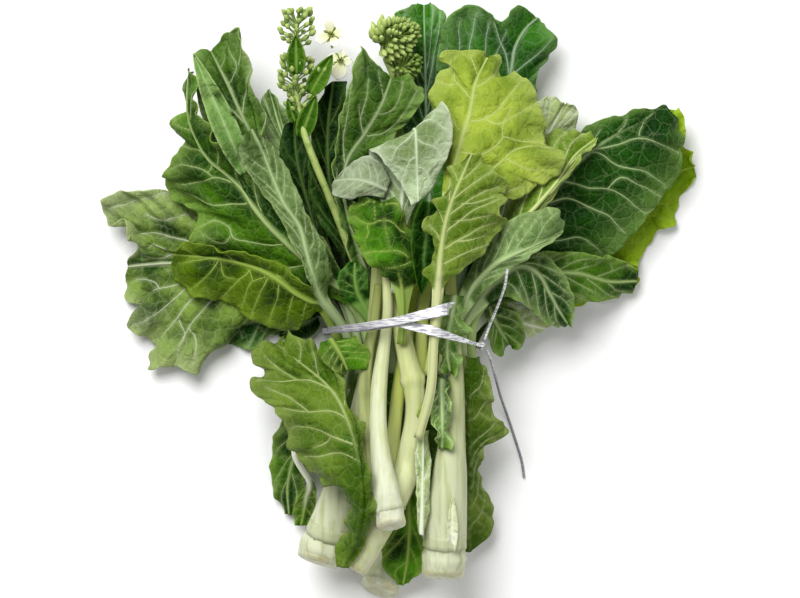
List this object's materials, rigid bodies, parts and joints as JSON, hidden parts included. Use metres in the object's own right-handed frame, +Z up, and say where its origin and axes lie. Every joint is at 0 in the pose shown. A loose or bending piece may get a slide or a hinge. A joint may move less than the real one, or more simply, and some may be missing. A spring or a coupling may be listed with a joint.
{
  "type": "turnip greens bunch",
  "caption": "Tied bunch of turnip greens lying on its back: broad lobed leaves, thick pale cut stalks, bud heads, white flowers and a ribbon tie.",
  "frame": {"origin": "centre of the lying bunch's bounding box, on the surface that it lies on", "axes": "+X to the right of the bunch seen from above with its leaves away from the viewer, +Y from the cut stalk ends to the leaf tips, +Z up"},
  "size_m": [0.3994, 0.4001, 0.1153],
  "materials": {
    "leaf_lime": "satin",
    "leaf_bright": "satin",
    "leaf_green": "satin",
    "leaf_dark": "satin",
    "leaf_olive": "satin",
    "leaf_pale": "satin",
    "stalk": "satin",
    "bud": "satin",
    "petal": "satin",
    "ribbon": "gloss"
  },
  "bodies": {
    "root": {"back_leaf_middle": "leaf_dark", "back_stalk": "stalk", "big_bud_head": "bud", "big_right_leaf": "leaf_dark", "bottom_dark_leaf": "leaf_dark", "centre_left_leaf": "leaf_green", "centre_stalk": "stalk", "crinkled_leaf": "leaf_pale", "crumpled_lower_leaf": "leaf_olive", "crumpled_upper_leaf": "leaf_green", "curling_leaf": "leaf_bright", "dark_middle_leaf": "leaf_dark", "dark_oblong_leaf": "leaf_dark", "flap_leaf": "leaf_bright", "flower_back": "petal", "flower_front": "petal", "folded_leaf": "leaf_pale", "folded_side_leaf": "leaf_pale", "front_left_leaf": "leaf_green", "front_stalk": "stalk", "grey_narrow_leaf": "leaf_pale", "inner_curl_leaf": "leaf_pale", "inner_left_leaf": "leaf_dark", "inner_right_leaf": "leaf_dark", "left_bud_spray": "bud", "left_fan_leaf": "leaf_pale", "left_lower_leaf": "leaf_green", "left_outer_stem": "stalk", "left_thick_stalk": "stalk", "lime_leaf": "leaf_lime", "low_left_dark_leaf": "leaf_dark", "low_right_arched_leaf": "leaf_green", "low_right_lobed_leaf": "leaf_bright", "low_right_pale_leaf": "leaf_pale", "low_right_wide_leaf": "leaf_pale", "lower_back_leaf": "leaf_dark", "lower_lime_leaf": "leaf_lime", "mid_right_leaf": "leaf_bright", "olive_left_leaf": "leaf_olive", "olive_stem": "leaf_olive", "pale_mid_right_leaf": "leaf_pale", "pointed_leaf": "leaf_pale", "right_back_leaf": "leaf_bright", "right_lower_leaf": "leaf_green", "right_thick_stalk": "stalk", "second_stem": "stalk", "small_bright_leaf": "leaf_bright", "tall_left_leaf": "leaf_green", "tie_band": "ribbon", "tie_loose_end": "ribbon", "tie_tail_long": "ribbon", "tie_tail_short": "ribbon", "top_leaf": "leaf_green", "top_right_leaf": "leaf_green", "torn_sheath": "leaf_pale", "upper_left_leaf": "leaf_bright"}
  },
  "joints": []
}
